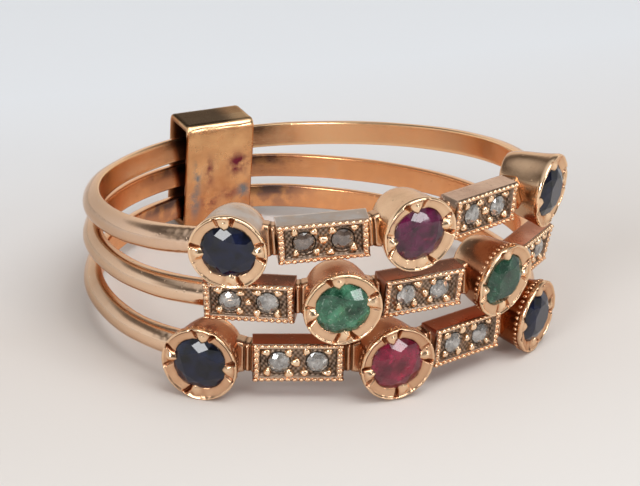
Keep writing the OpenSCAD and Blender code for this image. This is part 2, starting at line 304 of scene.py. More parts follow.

# %% [markdown]
# ## Rose gold, worn
#
# The metal is an old rose gold, gold with about a quarter copper. Polished metal has no grain, so what
# the eye reads is the wear: fine scratches, a few pits, and a copper-red tarnish that builds up where
# the polishing cloth and the finger don't reach. Every point carries a mark named worn, 0 on rubbed
# surfaces and 1 in the recesses, and the tarnish follows it; on the lower rows' walls it also carries a
# painted reflection of the rows above. Other marks place the purple (plum) and blue-grey (slate) stains
# that a jeweller's torch leaves, a pale painted highlight on a few surfaces that face the light, soot
# together with painted shade, and the dark oxide of cut-down fields, which also lays painted shade along
# the plaques' edges. A picture could be painted for all this, but noise that follows marks stays sharp
# from every side and fits each piece without unwrapping it.

# %% Sizes of the wear
MARKS = ("worn", "oxide", "painted_highlight", "plum", "slate", "soot_and_shade")
# Clouds of tarnish, heat stains, and the distance between pits, in mm
CLOUD_SIZE, SPOT_SIZE, PIT_GAP = 1.18, 0.625, 0.3125
# Scratches to the millimetre along x, y and z. They run round the bands about 0.04 mm apart, which is
# coarser than real ones, so that they show
SCRATCHES = (4, 7, 26)
# How deep scratches and pits are drawn, in mm
BUMP_DEPTH = 0.012
print("tarnish clouds, mm:", CLOUD_SIZE, "scratches, mm apart:", round(1 / SCRATCHES[2], 3))


# %% Rose gold's colour and bumps
def gold_colour(t, mark, amount, spots, rubbed, tarnished):
    """Rubbed to tarnished by an amount, then one layer over the other: colour = below + cover * (layer -
    below), where a layer's cover is its mark times the places that the spots leave it."""
    colour = add(t, "ValToRGB", {"Fac": amount}, stops=[(0.0, rubbed), (1.0, tarnished)])
    # Where the painted highlight lies, the spots give it full or half strength
    highlight_spread = {"Value": spots, "From Min": 0.42, "From Max": 0.6, "To Min": 1.0, "To Max": 0.5}
    highlight_spread = add(t, "MapRange", highlight_spread)
    blotch = add(t, "MapRange", {"Value": spots, "From Min": 0.38, "From Max": 0.55})
    grime = add(t, "ValToRGB", {"Fac": spots}, stops=[(0.3, "#30261F"), (0.7, "#7A6655")])
    layers = (
        # Painted highlight: pale cream over surfaces that face the light
        ("painted_highlight", highlight_spread, tint("#F6EEE8")),
        ("plum", blotch, tint("#7A3040")),
        ("slate", blotch, tint("#80858A")),
        ("oxide", 1.0, grime),
        # Soot and painted shade: a dark brown
        ("soot_and_shade", 1.0, tint("#3E3328")),
    )
    for key, place, layer in layers:
        cover = add(t, "Math", {0: place, 1: mark[key]}, operation="MULTIPLY")
        colour = add(t, "Mix", {0: cover, 6: colour, 7: layer}, 2, data_type="RGBA")
    return colour


def gold_bump(t, place, scratch):
    """Height = 0.4 * stretched noise for the scratches + a level that drops to 0 in the pits."""
    lines = add(t, "Mapping", {"Vector": place, "Scale": [n / MM for n in SCRATCHES]})
    lines = add(t, "TexNoise", {"Vector": lines, "Scale": 1.0, "Detail": 3.0, "Roughness": 0.7})
    pits = add(t, "TexVoronoi", {"Vector": place, "Scale": 1 / (PIT_GAP * MM), "Randomness": 1.0})
    pits = add(t, "MapRange", {"Value": pits, "From Min": 0.05, "From Max": 0.16})
    height = add(t, "Math", {0: lines, 1: 0.4, 2: pits}, operation="MULTIPLY_ADD")
    return add(t, "Bump", {"Strength": scratch, "Distance": BUMP_DEPTH * MM, "Height": height})


# %% Rose gold material
def rose_gold(name, rubbed, tarnished, rough=0.2, scratch=0.35, cloud=0.6):
    """Metal whose colour runs from rubbed to tarnished with the worn mark plus clouds of noise, and
    whose roughness grows with tarnish, oxide and the painted highlight."""
    m, t = new_material(name)
    mark = {key: add(t, "Attribute", out="Fac", attribute_name=key) for key in MARKS}
    place = add(t, "TexCoord", out="Object")
    clouds = {"Vector": place, "Scale": 1 / (CLOUD_SIZE * MM), "Detail": 5.0, "Roughness": 0.62}
    clouds = add(t, "TexNoise", clouds)
    spots = add(t, "TexNoise", {"Vector": place, "Scale": 1 / (SPOT_SIZE * MM), "Detail": 4.0})
    shift = add(t, "MapRange", {"Value": clouds, "To Min": -cloud / 2, "To Max": cloud / 2})
    amount = add(t, "Math", {0: mark["worn"], 1: shift}, operation="ADD", use_clamp=True)
    dull = add(t, "Math", {0: amount, 1: 0.7, 2: mark["oxide"]}, operation="MULTIPLY_ADD")
    dull = add(t, "Math", {0: dull, 1: mark["painted_highlight"]}, operation="ADD")
    gloss = {"Value": clouds, "From Min": 0.3, "From Max": 0.75}
    gloss = add(t, "MapRange", {**gloss, "To Min": rough * 0.6, "To Max": rough * 1.6})
    metal = {
        "Base Color": gold_colour(t, mark, amount, spots, rubbed, tarnished),
        "Roughness": add(t, "Math", {0: dull, 1: 0.16, 2: gloss}, operation="MULTIPLY_ADD"),
        "Normal": gold_bump(t, place, scratch),
        "Metallic": 1.0,
        # Copper keeps its warmth at a glancing angle, where a plain metal would go white
        "Specular Tint": tint("#FBEADB"),
    }
    add(t, "OutputMaterial", {"Surface": add(t, "BsdfPrincipled", metal)})
    print(f"{name}: {len(t.nodes)} nodes")
    return m


# %% The ring's golds, from rubbed to tarnished
# Upper shank: half-round wire, burnished by wear, so pale outside and golden inside the hoop
BAND_GOLD = rose_gold("rose_gold_band_rubbed", "#E6C6AE", "#FACE9E", rough=0.11, scratch=0.45)
# Lower shanks and all necks: the same wire, rubbed less, so more coppery inside
BAND_COPPER = rose_gold("rose_gold_band_copper_inside", "#EED0B4", "#F2B07A", rough=0.11, scratch=0.45)
# Collets: turned and burnished, so bright smooth lips, with copper in the graver's cuts; the lower rows'
# walls are copper too, a painted reflection of the rows above
LIP_GOLD = rose_gold("rose_gold_lip_polished", "#FBD8B2", "#A05830", rough=0.14, scratch=0.55, cloud=0.35)
# Beads and grains: pressed with a beading tool, so bright tops and coppery sides
BEAD_GOLD = rose_gold("rose_gold_bead_copper", "#FCDDBA", "#D08650", rough=0.16, scratch=0.4)
# Plaques: filed plate with a cut-down field, so a dark oxidised field; the walls are cream on the upper
# row and red copper on the lower, a painted reflection of the sky and of the rows above
PLAQUE_GOLD = rose_gold(
    "rose_gold_plaque_oxidised_field", "#F2D8C0", "#BC5630", rough=0.18, scratch=0.7, cloud=0.35
)
# Keeper: rolled sheet, left as the torch tarnished it, so thin orange clouds and broad soft reflections
KEEPER_GOLD = rose_gold("rose_gold_keeper_heat_tarnished", "#FFD098", "#C67A4A", rough=0.22, cloud=0.9)

# %% [markdown]
# ## Cut gems
#
# Each stone bends light by its own index: sapphire and ruby 1.77, emerald 1.58, diamond 2.42. The
# stones could be cut anew, but the solid model's facets are already exact, and flat shading keeps a
# facet's edge the crispest thing on the ring. Old stones have zones of stronger and weaker colour, and
# emeralds hold pale feathers. Sapphires this dark let hardly any light through, so their body colour is
# nearly black.


# %% Gem materials
# Feathers inside a stone are wisps about this many mm across
FEATHER_SIZE = 0.238


def gem(name, body, glow, ior, clear, veil=0.0, shine=0.5, zone=0.7):
    """Faceted stone: body colour with zones of glow, their size in mm, under thin feathers as strong as
    the veil. clear is the share of light that it lets through."""
    m, t = new_material(name)
    place = add(t, "TexCoord", out="Object")
    zones = {"Vector": place, "Scale": 1 / (zone * MM), "Detail": 4.0, "Roughness": 0.6}
    colour = add(t, "ValToRGB", {"Fac": add(t, "TexNoise", zones)}, stops=[(0.38, body), (0.68, glow)])
    wisps = {"Vector": place, "Scale": 1 / (FEATHER_SIZE * MM), "Detail": 6.0, "Distortion": 2.5}
    wisps = {"Value": add(t, "TexNoise", wisps), "From Min": 0.58, "From Max": 0.72, "To Max": veil}
    feathers = {0: add(t, "MapRange", wisps), 6: colour, 7: tint("#C9D8CC")}
    stone = {
        "Base Color": add(t, "Mix", feathers, 2, data_type="RGBA"),
        "Transmission Weight": clear,
        "IOR": ior,
        "Specular IOR Level": shine,
        "Roughness": 0.02,
    }
    add(t, "OutputMaterial", {"Surface": add(t, "BsdfPrincipled", stone)})
    return m


# Cut and polished stones, so sharp reflections: body colour, glow, index, share of light let through
SAPPHIRE = gem("sapphire_inky", "#05070F", "#1C2446", 1.77, 0.3, shine=0.18)
RUBY_UPPER = gem("ruby_purple", "#36031F", "#8C1E5C", 1.77, 0.5, shine=0.22)
RUBY_LOWER = gem("ruby_crimson", "#680824", "#C02C54", 1.77, 0.5, shine=0.22)
EMERALD = gem("emerald_included", "#154630", "#62AC86", 1.58, 0.5, veil=0.6, shine=0.4)
EMERALD_DEEP = gem("emerald_deep", "#0E3224", "#3C7458", 1.58, 0.5, veil=0.4, shine=0.4)
DIAMOND_GREY = gem("diamond_grey_old_cut", "#77716B", "#F6F2EC", 2.42, 0.6, shine=0.6, zone=0.3)
DIAMOND_DULL = gem("diamond_brown_dull", "#4E3A30", "#9A8678", 2.42, 0.5, shine=0.25, zone=0.4)

# %% Each stone's finish
STONE_FINISH = {
    "sapphire_upper_left": SAPPHIRE,
    "ruby_upper": RUBY_UPPER,
    "sapphire_upper_right": SAPPHIRE,
    "emerald_middle_left": EMERALD,
    "emerald_middle_right": EMERALD_DEEP,
    "sapphire_lower_left": SAPPHIRE,
    "ruby_lower": RUBY_LOWER,
    "sapphire_lower_right": SAPPHIRE,
    "diamond_1": DIAMOND_DULL,
    "diamond_2": DIAMOND_DULL,
}
STONE_FINISH.update({f"diamond_{i}": DIAMOND_GREY for i in range(3, 15)})
for stone, finish in STONE_FINISH.items():
    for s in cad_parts[stone].material_slots:
        s.material = finish
print("stones finished:", len(STONE_FINISH))

# %% [markdown]
# ## Shanks
#
# A band is half-round wire: flat on the finger side and rounded outside. A curve with a bevel could
# draw it, but a section carried round the hoop as a grid lets wear, dents and stains follow the same
# two parameters. It runs from the last setting on one side to the first on the other. Its edges are
# worn soft and the outside is rubbed bright, and painted shade darkens the outside of the left limb. The
# inside keeps its copper tarnish, and stains from the torch that closed the keeper spread along it from
# there.

# %% Wear of the shanks
# For the lower, middle and upper row: how far from the keeper the stains end and are full, in degrees
STAIN_END, STAIN_FULL = (42, 40, 35), (24, 22, 18)
# How purple and how blue-grey the stains are, and how purple the rest of the inside is
STAIN_PLUM, STAIN_SLATE, INSIDE_PLUM = (0.7, 0.5, 0.3), (0.5, 0.2, 0.0), (0.1, 0.06, 0.0)
SHADED_LEFT_LIMB = 262
print("stains reach from the keeper, degrees:", STAIN_END)


# %% Shank surfaces
def band_section():
    """Closed half-round section: outward distance, height, and how worn in each point is. The outer
    side is a half circle on straight flanks, and the flat inner side meets them in 0.09 mm edges."""
    a = np.linspace(-np.pi / 2, np.pi / 2, 25)
    b = np.linspace(0, np.pi / 2, 5)
    edge, inner, half = 0.09, 0.03, BAND_H / 2
    flat_y = np.linspace(half - 2 * edge, -half + 2 * edge, 6)
    h = np.concatenate([BAND_T - half + half * np.cos(a), inner + edge * (1 - np.sin(b)), np.full(6, inner)])
    y = np.concatenate([half * np.sin(a), half - edge * (1 - np.cos(b)), flat_y])
    h = np.concatenate([h, inner + edge * (1 - np.sin(b[::-1]))])
    y = np.concatenate([y, -half + edge * (1 - np.cos(b[::-1]))])
    worn = np.interp(h, [inner, inner + 0.05, 0.3, BAND_T], [1.0, 0.8, 0.3, 0.12])
    return h, y, worn


def shank(row):
    """The section swept from the last setting round the back to the first, uneven by hand filing."""
    ends = plaque_angles(row) if row == MIDDLE else STONES[row]
    # It starts inside a collet's wall, or behind the middle of an end plaque
    inset = 0.0 if row == MIDDLE else COLLET_WALL
    angle = np.linspace(ends[-1] + inset, 360 + ends[0] - inset, 520)[:, None]
    h, y, worn = band_section()
    wave = 0.012 * np.sin(np.radians(angle * 7.3 + 40 * row)) + 0.009 * np.sin(np.radians(angle * 17.1))
    # Beside the settings, solder and the file left small dents, about 0.6 mm apart and 0.02 mm deep
    from_end = np.minimum(angle - angle[0], angle[-1] - angle)
    dents = np.sin(1.9 * angle + 5 * y) + np.sin(2.9 * angle - 9 * y) * np.sin(0.7 * angle)
    wave = wave + 0.01 * dents * np.exp(-((from_end / 11) ** 2))
    inside = h < 0.1
    # The stains are strongest along the upper edge
    from_keeper = np.abs(angle - 180 - KEEPER_TURN)
    heat = inside * smooth_step(STAIN_END[row], STAIN_FULL[row], from_keeper)
    stained = heat * (0.35 + 0.65 * smooth_step(-0.1, 0.35, y))
    # Painted shade: soot darkens the outside of the left limb
    dull = 0.4 * (h > 0.1) * np.exp(-(((angle - SHADED_LEFT_LIMB) / 20) ** 2))
    marks = {
        "worn": worn,
        "plum": STAIN_PLUM[row] * stained + INSIDE_PLUM[row] * inside,
        "slate": STAIN_SLATE[row] * stained,
        "soot_and_shade": dull + 0.75 * stained**1.5,
    }
    return tube(along_hoop(row, angle, h + wave * (h > 0.3), y * (1 + 0.5 * wave)), marks)


for row in (LOWER, MIDDLE, UPPER):
    gold = BAND_GOLD if row == UPPER else BAND_COPPER
    surface(f"shank_{ROWS[row]}", [shank(row)], gold, replaces=[f"{ROWS[row]}_band"])

# %% [markdown]
# ## Collets
#
# Each collet is a tube turned on its own axis and flared to the front. Its rim is a thin bright line,
# and from there the metal dips toward the stone like a dish. At four places a graver has cut a V
# across the rim and pushed up a grain of metal over the stone's edge as a claw. The claws also press
# the round opening a little square. Booleans could cut the claws into a lathed tube, but added to the
# profile's own radius and height they leave one closed mesh with soft edges.

# %% Collet sizes
# Claws: how far a grain stands from the stone's axis, how high it rises over the lip, and how deep the
# cuts beside it go into the lip, in mm
CLAW_R, GRAIN_H, CUT_DEPTH = 1.19, 0.15, 0.22
# How far the opening is drawn in at each claw and let out between them, and how far the lip's inner
# edge is pushed over the stone under a grain, in mm
SQUARING, LIP_PULL = 0.035, 0.16
# How much more tarnish colour the walls get, a painted reflection of the rows above, and how much more
# worn in the lips are, for the lower, middle and upper row
ROW_WALL_REFLECTION, LIP_WORN = (0.8, 0.6, 0.0), (0.2, 0.05, 0.0)
# Lathe profile from the bore at the back, round the outside to the rim and in to the stone:
# radius, height and how worn in
COLLET_PROFILE = np.array(
    [
        (0.78, 0.9, 0.9), (0.75, 0.3, 1.0), (0.76, 0.0, 0.9), (0.8, -0.05, 0.7), (1.14, -0.05, 0.5),
        (1.19, -0.03, 0.4), (1.21, 0.03, 0.35), (1.24, 0.2, 0.35), (1.29, 0.45, 0.3), (1.36, 0.8, 0.25),
        (1.42, 1.15, 0.25), (1.47, 1.4, 0.25), (1.51, 1.56, 0.3), (1.53, 1.64, 0.25), (1.55, 1.7, 0.1),
        (1.55, 1.79, 0.0), (1.545, 1.84, 0.0), (1.525, 1.87, 0.0), (1.5, 1.88, 0.0), (1.475, 1.875, 0.0),
        (1.455, 1.85, 0.15), (1.43, 1.83, 0.35), (1.38, 1.815, 0.3), (1.31, 1.8, 0.25), (1.24, 1.785, 0.25),
        (1.17, 1.77, 0.3), (1.11, 1.755, 0.4), (1.07, 1.735, 0.5), (1.05, 1.7, 0.7), (1.05, 1.66, 0.9),
        (1.12, 1.6, 1.0), (1.12, 1.52, 1.0), (0.78, 1.2, 1.0), (0.76, 1.05, 1.0),
    ]
)
print("collet profile:", len(COLLET_PROFILE), "points, up to", COLLET_PROFILE[:, 1].max(), "mm high")


# %% Collet surfaces
def add_claw(theta, r, h, worn, front, middle, seed):
    """A claw at one angle of the lip. Its grain is a low pyramid over the stone's edge: 1 at the tip, less
    the distance from it. A deep cut slants away from one side of it and a slight one from the other,
    each a V that falls off from a slanting line. The seed changes the side and the slant, as by hand."""
    side = np.sign(np.sin(1.7 * seed + 0.5))
    away = (theta - middle + 0.05 * np.sin(seed) + np.pi) % (2 * np.pi) - np.pi
    across = away * r * side
    reach = smooth_step(1.06, 1.2, r) * smooth_step(1.56, 1.46, r)
    slant = 0.28 + (0.5 + 0.2 * np.sin(seed)) * (r - 1.2)
    deep = np.clip(1 - np.abs(across - slant) / (0.07 + 0.25 * np.clip(r - 1.2, 0, 1)), 0, 1)
    slight = np.clip(1 - np.abs(across + slant) / 0.09, 0, 1) * (0.5 + 0.4 * np.sin(2 * seed))
    cut = reach * (deep + slight)
    distance = (np.abs(across / 0.27) ** 1.4 + np.abs((r - CLAW_R) / 0.2) ** 1.4) ** 0.7
    grain = np.clip(1.15 - distance, 0, 1)
    h = h + front * (GRAIN_H * grain - CUT_DEPTH * cut)
    r = r - front * LIP_PULL * np.exp(-((across / 0.2) ** 2) - ((r - 1.05) / 0.1) ** 2)
    return r, h, np.clip(worn + front * (0.95 * cut - 0.5 * grain), 0, 1)


def collet(row, i):
    """The profile swept round the stone's axis: x = r cos(theta), y = r sin(theta). Before that the lip
    gets low waves, and its four claws are added to the radius and height."""
    theta = np.linspace(0, 2 * np.pi, 216, endpoint=False)[:, None]
    r, h, worn = (COLLET_PROFILE[:, k][None, :] + 0 * theta for k in range(3))
    turn = np.radians(CLAW_TURN[row][i])
    # The front is the lip alone, without the bore
    front = smooth_step(1.62, 1.72, h) * (r > 1.02)
    inner_edge = front * smooth_step(1.3, 1.06, r)
    r = r - inner_edge * SQUARING * np.cos(4 * (theta - turn))
    # Hand finishing leaves the lip a little uneven
    h = h + front * (0.016 * np.sin(3 * theta + i) + 0.009 * np.sin(7 * theta + 2 * row))
    h = h + front * 0.006 * np.sin(17 * theta + i + row)
    for q in range(4):
        middle = turn + q * np.pi / 2
        r, h, worn = add_claw(theta, r, h, worn, front, middle, 3 * i + 5 * row + 7 * q)
    side_wall = (1 - front) * smooth_step(0.1, 0.6, h)
    # The lower rows' walls take more tarnish colour as a painted reflection of the rows above
    worn = np.clip(worn + ROW_WALL_REFLECTION[row] * side_wall + LIP_WORN[row] * front, 0, 1)
    # The back end stands square on the band, and the rest leans with the face
    x, y = r * np.cos(theta), r * np.sin(theta)
    foot = beside(row, STONES[row][i], x, y + (LIP_LEVEL - 0.3) * np.sin(HEAD_LEAN[row]), h)
    head = beside(row, STONES[row][i], x, y, h, LIP_LEVEL)
    t = smooth_step(0.15, 0.7, h)[..., None]
    # Oxide stays in the deepest of the cuts
    oxide = 0.55 * front * smooth_step(0.7, 1.0, worn)
    # A pale painted highlight, greyed a little by the soot layer, lies on the upper side of the upper row's
    # first collet, where it faces the light
    painted_sheen = side_wall * smooth_step(-0.3, 0.4, np.sin(theta)) * (row == UPPER and i == 0)
    marks = {"worn": worn, "oxide": oxide, "painted_highlight": painted_sheen, "soot_and_shade": 0.3 * painted_sheen}
    return foot * (1 - t) + head * t, True, True, marks


for row in (LOWER, MIDDLE, UPPER):
    surface(f"collets_{ROWS[row]}", [collet(row, i) for i in range(len(STONES[row]))], LIP_GOLD)

# %% [markdown]
# ## Beads
#
# A beading wheel rolls small round grains along an edge. Instances of one ball would be lighter, but no
# two real grains are alike, so each here is its own ball of a few dozen faces, stretched by chance. A
# row of them runs round the collets of the two lower bands, just behind the lip.


# %% Beads and the beaded collars
def beads(row, angle, pivot, x, y, h, size, uneven=0.0, seed=0, nu=9, nv=6, worn=0.4):
    """Grids of balls, centre + half size (along, up and out) in every direction. uneven stretches each
    one by chance."""
    rng = np.random.default_rng(seed)
    u = np.linspace(0, 2 * np.pi, nu, endpoint=False)[:, None]
    v = np.linspace(0, np.pi, nv)[None, :]
    made = []
    for bx, by, bh in zip(*np.broadcast_arrays(x, y, h)):
        sx, sy, sh = np.array(size) * (1 + uneven * rng.uniform(-1, 1, 3))
        lump = 1 + uneven * 0.6 * np.sin(3 * u + rng.uniform(0, 6)) * np.sin(v)
        px = bx + sx * lump * np.sin(v) * np.cos(u)
        py = by + sy * lump * np.sin(v) * np.sin(u)
        ball = beside(row, angle, px, py, bh + sh * np.cos(v) + 0 * u, pivot)
        made.append((ball, True, False, {"worn": worn}))
    return made


def collar(row, angle):
    """Beads set 0.23 mm apart round a collet, behind its lip and no wider than it."""
    a = np.linspace(0, 2 * np.pi, 39, endpoint=False)
    size = (0.09, 0.09, 0.12)
    return beads(row, angle, LIP_LEVEL, 1.455 * np.cos(a), 1.455 * np.sin(a), 1.54, size, 0.08, worn=0.5)


for row in (LOWER, MIDDLE):
    surface(f"collars_{ROWS[row]}", [g for a in STONES[row] for g in collar(row, a)], BEAD_GOLD)

# %% [markdown]
# ## Plaques
#
# Between the collets are small rectangular plaques. The field is cut down and left dark, which sets
# off the diamonds, and a fine beaded edge runs round it. Round grains hold the stones. A displaced box
# could give such a relief, but its detail would need an even fine mesh. Here a plaque is a tube along
# its length, whose section runs over the front, down one wall, along the back and up, and only the
# front has many points.


# %% Plaque sizes
# How deep the field is sunk, how high a rim stands round each diamond, its seat's depth and radius, and
# how deep the graver's strokes go, in mm
FIELD_DEPTH, RIM_H, SEAT_DEPTH, SEAT_R, STROKE_DEPTH = 0.13, 0.06, 0.3, 0.47, 0.02
# How much painted shade darkens the lower part of the walls, for the lower, middle and upper row
PLAQUE_WALL_SHADE = (0.4, 0.4, 0.0)
print("plaque's field, mm below its face:", FIELD_DEPTH)


# %% Plaque surfaces
def plaque(row, angle):
    """The front part of the section is a height over x and y: a flat border that falls to a sunken
    field, in it a Gaussian rim and a cone for each diamond's seat, and crossed sine waves for the
    graver's strokes. Walls and back are straight."""
    n, sides = 60, 4
    x = np.linspace(-1, 1, 120)[:, None] * PLAQUE_W / 2
    half, front_y = PLAQUE_H / 2, np.linspace(-1, 1, n) * PLAQUE_H / 2
    back_y, wall_h = np.linspace(half - 0.05, 0.05 - half, 6), np.array([0.98, 0.6, 0.25, 0.16])
    y = np.concatenate([front_y, np.full(sides, half), back_y, np.full(sides, -half)])[None, :]
    plain = np.concatenate([np.full(n, PLAQUE_FACE - 0.03), wall_h, np.full(6, 0.12), wall_h[::-1]])[None, :]
    front = plain > 1.0
    from_end, from_side = PLAQUE_W / 2 - np.abs(x), half - np.abs(y)
    # The border is 0.06 mm wider at the ends
    from_edge, from_field = np.minimum(from_end, from_side), np.minimum(from_end - 0.06, from_side)
    field = smooth_step(0.2, 0.26, from_field) * front
    h = plain - FIELD_DEPTH * field - 0.04 * front * np.exp(-((from_edge / 0.03) ** 2))
    for d in (-DIAMOND_X, DIAMOND_X):
        away = np.hypot(x - d, y)
        rim = RIM_H * np.exp(-(((away - 0.5) / 0.06) ** 2))
        h = h + field * (rim - SEAT_DEPTH * np.clip(1 - away / SEAT_R, 0, 1))
    strokes = np.sin(x * 31 + 3 * row + 2 * np.sin(5 * y)) * np.sin(y * 27 + angle) * field
    # The walls' colour by row is a painted reflection: the lower rows' walls are copper red, mirroring the
    # rows above, and the upper row's are cream, mirroring the bright sky
    wall_painted_reflection = (1.0, 0.75, 0.2 if angle > 0 else 0.0)[row]
    # Painted shade: the oxide mark darkens a thin line along the face's edge, beside the beads
    painted_edge_shade = front * np.exp(-((from_edge / 0.08) ** 2))
    slope = front * smooth_step(0.15, 0.21, from_field)
    h = h + STROKE_DEPTH * strokes
    marks = {
        "worn": np.where(front, 0.15, wall_painted_reflection) + 0 * x,
        "oxide": np.clip(0.9 * painted_edge_shade + slope * (0.85 + 0.3 * strokes), 0, 1),
        # A pale painted highlight lies on the top wall of the upper row's first plaque, where it faces the
        # light
        "painted_highlight": (1 - front) * (y > half - 0.01) * (row == UPPER and angle < 0),
        # Painted shade toward the back of the lower rows' walls
        "soot_and_shade": PLAQUE_WALL_SHADE[row] * (1 - front) * smooth_step(0.9, 0.3, plain),
    }
    return tube(beside(row, angle, x + 0 * y, y + 0 * x, h, PLAQUE_FACE), marks)


# %% Beads and grains of the plaques
def plaque_edging(row, angle):
    """Beads 0.26 mm apart along both long edges, and rougher ones down the ends."""
    long_x = np.linspace(-1, 1, 14) * (PLAQUE_W / 2 - 0.1)
    end_y = np.linspace(-1, 1, 6) * (PLAQUE_H / 2 - 0.24)
    top, level = PLAQUE_H / 2 - 0.08, PLAQUE_FACE - 0.03
    long, short = (0.122, 0.08, 0.1), (0.13, 0.118, 0.1)
    seed = 300 + int(7 * angle)
    made = beads(row, angle, PLAQUE_FACE, long_x, top, level, long, 0.1, seed, worn=0.05)
    made += beads(row, angle, PLAQUE_FACE, long_x, -top, level, long, 0.15, seed + 1, worn=0.4)
    for side in (-1, 1):
        x, sunk = side * (PLAQUE_W / 2 - 0.14), level - 0.02
        made += beads(row, angle, PLAQUE_FACE, x, end_y, sunk, short, 0.2, seed + 3 + side, worn=0.3)
    return made


def grains(row, angle):
    """Grains that hold the diamonds: four round each and one between, a little uneven by hand."""
    seed = 700 + int(7 * angle)
    rng = np.random.default_rng(seed)
    x = np.array([-1.17, -0.34, 0.34, 1.17] * 2 + [0.0]) + rng.normal(0, 0.05, 9)
    y = np.array([-0.44] * 4 + [0.44] * 4 + [0.0]) + rng.normal(0, 0.035, 9)
    size = (0.17, 0.17, 0.16)
    return beads(row, angle, PLAQUE_FACE, x, y, PLAQUE_FACE - 0.13, size, 0.22, seed, 20, 12, worn=0.05)


for row in (LOWER, MIDDLE, UPPER):
    places = plaque_angles(row)
    surface(f"plaques_{ROWS[row]}", [plaque(row, a) for a in places], PLAQUE_GOLD)
    surface(f"plaque_edging_{ROWS[row]}", [g for a in places for g in plaque_edging(row, a)], BEAD_GOLD)
    surface(f"diamond_grains_{ROWS[row]}", [g for a in places for g in grains(row, a)], BEAD_GOLD)

# %% [markdown]
# ## Necks
#
# A short grooved neck joins each plaque to the next collet and runs on behind the plaque. It is nearly
# as deep as the plaque, with two cuts across its face and scooped edges. A bar with modelled cuts would
# do, but a smooth dip worked out for each cut also says where its dark oxide lies.


# %% Neck surfaces
# How deep the two grooves and the scooped edges are, and how far the grooves are from the neck's middle
GROOVE_DEPTH, SCOOP_DEPTH, GROOVE_X = 0.1, 0.1, 0.11


def neck(row, stone, plaque_angle):
    """Squared bar along the hoop whose depth and height dip by Gaussians: two grooves and a scoop."""
    side = np.sign(plaque_angle - stone)
    angle = np.linspace(stone + side * COLLET_WALL, plaque_angle, 120)[:, None]
    # The middle of the part that shows is a little nearer the stone than the plaque's middle
    along = np.radians(angle - (stone + (plaque_angle - stone) * 0.456)) * (FRONT_R + 0.6)
    a = np.linspace(0, 2 * np.pi, 64, endpoint=False)[None, :]
    squareness = (np.abs(np.cos(a)) ** 6 + np.abs(np.sin(a)) ** 6) ** (-1 / 6)
    scoop = SCOOP_DEPTH * np.exp(-((along / 0.28) ** 2))
    groove = sum(np.exp(-(((along - x) / 0.04) ** 2)) for x in (GROOVE_X, -GROOVE_X))
    out = squareness * np.cos(a)
    # Behind the plaque it thins, so that it stays below the sunken field
    inside = smooth_step(0.25, 0.45, along * side)
    h = 0.49 + (NECK_FACE / 2 - 0.02 - 0.3 * inside) * out - GROOVE_DEPTH * groove * (out > 0.5)
    y = (NECK_H / 2 - scoop) * squareness * np.sin(a) + (PLAQUE_FACE - NECK_FACE / 2) * np.sin(HEAD_LEAN[row])
    marks = {"worn": np.clip(0.5 + 0.5 * groove, 0, 1), "oxide": np.clip(0.3 + 0.6 * groove, 0, 0.9)}
    return tube(along_hoop(row, angle, h, y), marks)


for row in (LOWER, MIDDLE, UPPER):
    # A stone's own plaques are less than 25 degrees away
    pairs = [(s, p) for s in STONES[row] for p in plaque_angles(row) if abs(s - p) < 25]
    surface(f"necks_{ROWS[row]}", [neck(row, s, p) for s, p in pairs], BAND_COPPER)

# %% [markdown]
# ## Keeper
#
# The keeper is a flat sleeve, bent from sheet and soldered. Its top is drawn dark, lighter toward the
# right, as a painted reflection, the inside of its slot is painted shade, and its finger side is
# stained. A bevelled box with a hole cut through would do for its form, but one rounded section, carried
# along the outside and back through the slot, is a single closed surface with even edges. The stains
# are placed one by one on the face: each is a soft spot with its own place, size and strength.

# %% Keeper's stains
# Stains on the finger side: along, up, half width, half height (mm), strength
SLATE_STAINS = ((-1.15, 0.3, 0.16, 0.7, 1.3), (-1.2, -1.2, 0.2, 0.7, 1.2), (1.3, -0.9, 0.3, 0.6, 1.0))
PLUM_STAINS = (
    (-0.55, 0.2, 0.22, 0.7, 1.0), (0.75, 0.45, 0.32, 0.5, 1.1), (1.2, 0.5, 0.3, 0.5, 1.0),
    (-0.5, -1.3, 0.4, 0.5, 0.9), (0.6, -1.0, 0.5, 0.3, 0.7),
)
print("stains on the keeper:", len(SLATE_STAINS) + len(PLUM_STAINS))


# %% Keeper surface
def stain(spots, x, z):
    """Sum of Gaussian spots over the keeper's face, 1 at most."""
    total = sum(s * np.exp(-(((x - cx) / w) ** 2) - ((z - cz) / t) ** 2) for cx, cz, w, t, s in spots)
    return np.minimum(total, 1.0)


def rounded_loop(a, half_d, half_h, r):
    """Rounded rectangle: a ray meets the sharp outline at (px, pz), and that point is drawn in to the
    distance r from the nearest point of a rectangle smaller by r all round."""
    c, s = np.cos(a), np.sin(a)
    k = np.maximum(np.abs(c) / half_d, np.abs(s) / half_h)
    px, pz = c / k, s / k
    ox, oz = np.clip(px, r - half_d, half_d - r), np.clip(pz, r - half_h, half_h - r)
    pull = r / np.maximum(np.hypot(px - ox, pz - oz), 1e-9)
    return ox + (px - ox) * pull, oz + (pz - oz) * pull


